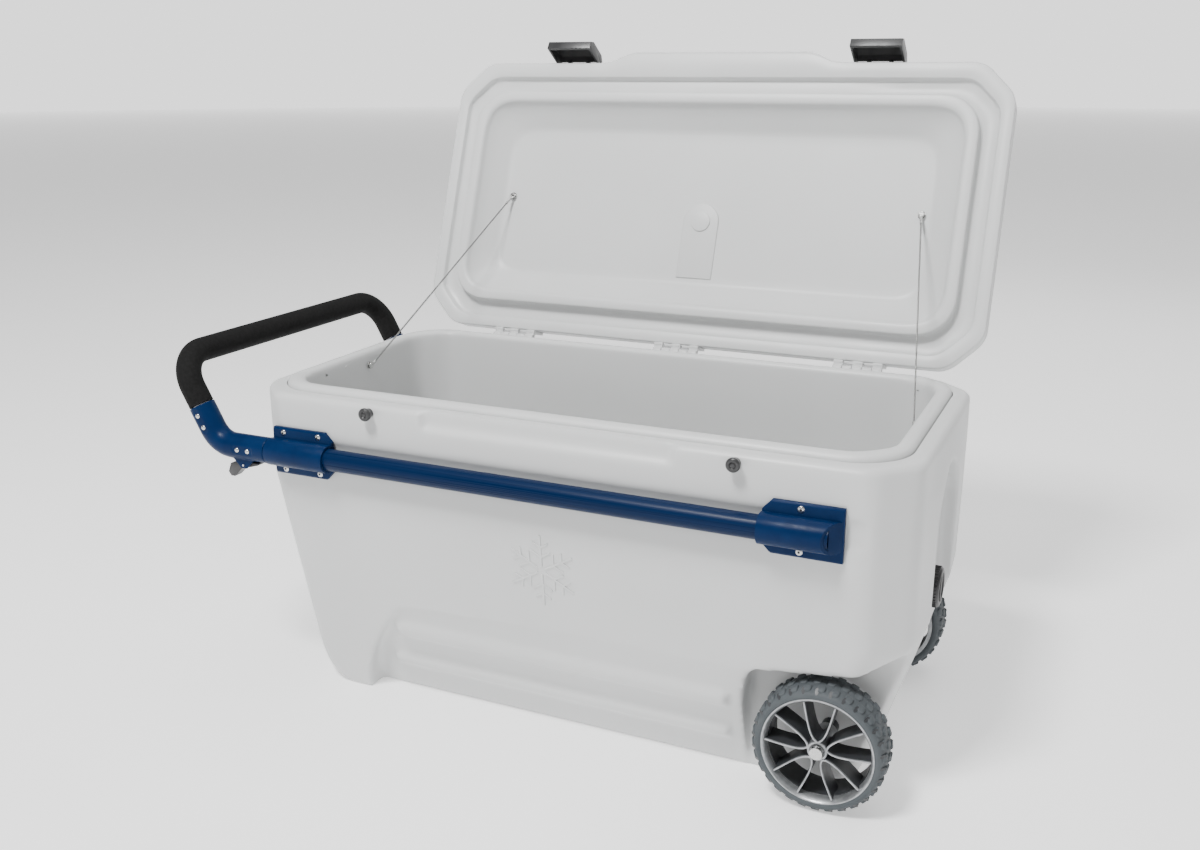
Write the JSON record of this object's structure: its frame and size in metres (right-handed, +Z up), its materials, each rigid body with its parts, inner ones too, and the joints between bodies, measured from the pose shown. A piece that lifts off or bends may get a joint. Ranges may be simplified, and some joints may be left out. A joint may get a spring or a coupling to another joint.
{
  "type": "cooler on wheels",
  "caption": "Large insulated chest cooler with a hinged lid, snap latches, cable stays, a telescoping pull handle on side rails and wheels at one end.",
  "frame": {"origin": "centre of the tub's length and width, on the floor it stands on", "axes": "+X towards the wheel end, +Y towards the lid's hinges, +Z up"},
  "size_m": [1.056, 0.711, 0.9206],
  "materials": {
    "white_plastic": "smooth moulded polyethylene, softly shiny",
    "insulation": "rigid foam, matt",
    "blue_metal": "anodised royal blue, satin",
    "bright_steel": "bright zinc-plated steel",
    "black_plastic": "semi-gloss moulded plastic",
    "black_foam": "matt closed-cell foam",
    "black_rubber": "matt rubber",
    "dark_rim": "dark moulded plastic with worn silver edges",
    "grey_tyre": "mid-grey moulded tread"
  },
  "bodies": {
    "tub": {"tub_shell": "white_plastic", "tub_liner": "white_plastic", "tub_foam": "insulation", "hinge_leaf_tub_1": "white_plastic", "hinge_leaf_tub_2": "white_plastic", "hinge_leaf_tub_3": "white_plastic", "hinge_pin_1": "bright_steel", "hinge_pin_2": "bright_steel", "hinge_pin_3": "bright_steel", "catch_knob_left": "black_plastic", "catch_knob_right": "black_plastic", "stay_anchor_tub_left": "bright_steel", "stay_anchor_tub_right": "bright_steel", "stay_cable_left": "bright_steel", "stay_cable_right": "bright_steel", "rail_front": "blue_metal", "rail_rear": "blue_metal", "bracket_left_front": "blue_metal", "bracket_left_rear": "blue_metal", "bracket_right_front": "blue_metal", "bracket_right_rear": "blue_metal", "axle": "bright_steel", "wheel_spacer_front": "dark_rim", "wheel_spacer_rear": "dark_rim", "push_nut_front": "bright_steel", "push_nut_rear": "bright_steel", "drain_spout": "black_plastic", "drain_gasket": "black_rubber"},
    "lid": {"lid_shell": "white_plastic", "lid_liner": "white_plastic", "lid_foam": "insulation", "hinge_leaf_lid_1": "white_plastic", "hinge_leaf_lid_2": "white_plastic", "hinge_leaf_lid_3": "white_plastic", "latch_mount_left": "black_plastic", "latch_mount_right": "black_plastic", "latch_pin_left": "bright_steel", "latch_pin_right": "bright_steel", "stay_anchor_lid_left": "bright_steel", "stay_anchor_lid_right": "bright_steel"},
    "left_latch": {"latch_left": "black_plastic"},
    "right_latch": {"latch_right": "black_plastic"},
    "handle": {"handle_tube_front": "bright_steel", "handle_tube_rear": "bright_steel", "handle_elbow_front": "blue_metal", "handle_elbow_rear": "blue_metal", "grip_core_tube": "bright_steel", "grip_foam": "black_foam", "lever_pin_front": "bright_steel", "lever_pin_rear": "bright_steel"},
    "front_lever": {"lock_lever_front": "black_plastic"},
    "rear_lever": {"lock_lever_rear": "black_plastic"},
    "front_wheel": {"tyre_front": "grey_tyre", "wheel_rim_front": "dark_rim"},
    "rear_wheel": {"tyre_rear": "grey_tyre", "wheel_rim_rear": "dark_rim"},
    "cap": {"drain_cap": "black_plastic"}
  },
  "joints": [
    {"name": "lid_hinge", "type": "hinge", "parent": "tub", "child": "lid", "pos_m": [0, 0.2402, 0.4465], "axis": [1, 0, 0], "range_deg": [0, 110.4], "deforming": ["stay_cable_left", "stay_cable_right"]},
    {"name": "left_latch_pivot", "type": "hinge", "parent": "lid", "child": "left_latch", "pos_m": [-0.256, 0.43427, 0.88485], "axis": [1, 0, 0], "range_deg": [-76, 14]},
    {"name": "right_latch_pivot", "type": "hinge", "parent": "lid", "child": "right_latch", "pos_m": [0.256, 0.43427, 0.88485], "axis": [1, 0, 0], "range_deg": [-76, 14]},
    {"name": "handle_slide", "type": "slide", "parent": "tub", "child": "handle", "axis": [-1, 0, 0], "range_m": [0, 0.38]},
    {"name": "front_lever_rock", "type": "hinge", "parent": "handle", "child": "front_lever", "pos_m": [-0.4575, -0.24, 0.346], "axis": [0, 1, 0], "range_deg": [0, 12], "stiffness_Nm_per_rad": 0.6, "springref_deg": -5.73},
    {"name": "rear_lever_rock", "type": "hinge", "parent": "handle", "child": "rear_lever", "pos_m": [-0.4575, 0.24, 0.346], "axis": [0, 1, 0], "range_deg": [0, 12], "stiffness_Nm_per_rad": 0.6, "springref_deg": -5.73},
    {"name": "front_wheel_spin", "type": "hinge", "parent": "tub", "child": "front_wheel", "pos_m": [0.369, -0.199, 0.084], "axis": [0, 1, 0], "continuous": true},
    {"name": "rear_wheel_spin", "type": "hinge", "parent": "tub", "child": "rear_wheel", "pos_m": [0.369, 0.199, 0.084], "axis": [0, 1, 0], "continuous": true},
    {"name": "drain_cap_turn", "type": "hinge", "parent": "tub", "child": "cap", "pos_m": [0.4626, 0, 0.228], "axis": [1, 0, 0], "range_deg": [0, 540]}
  ]
}
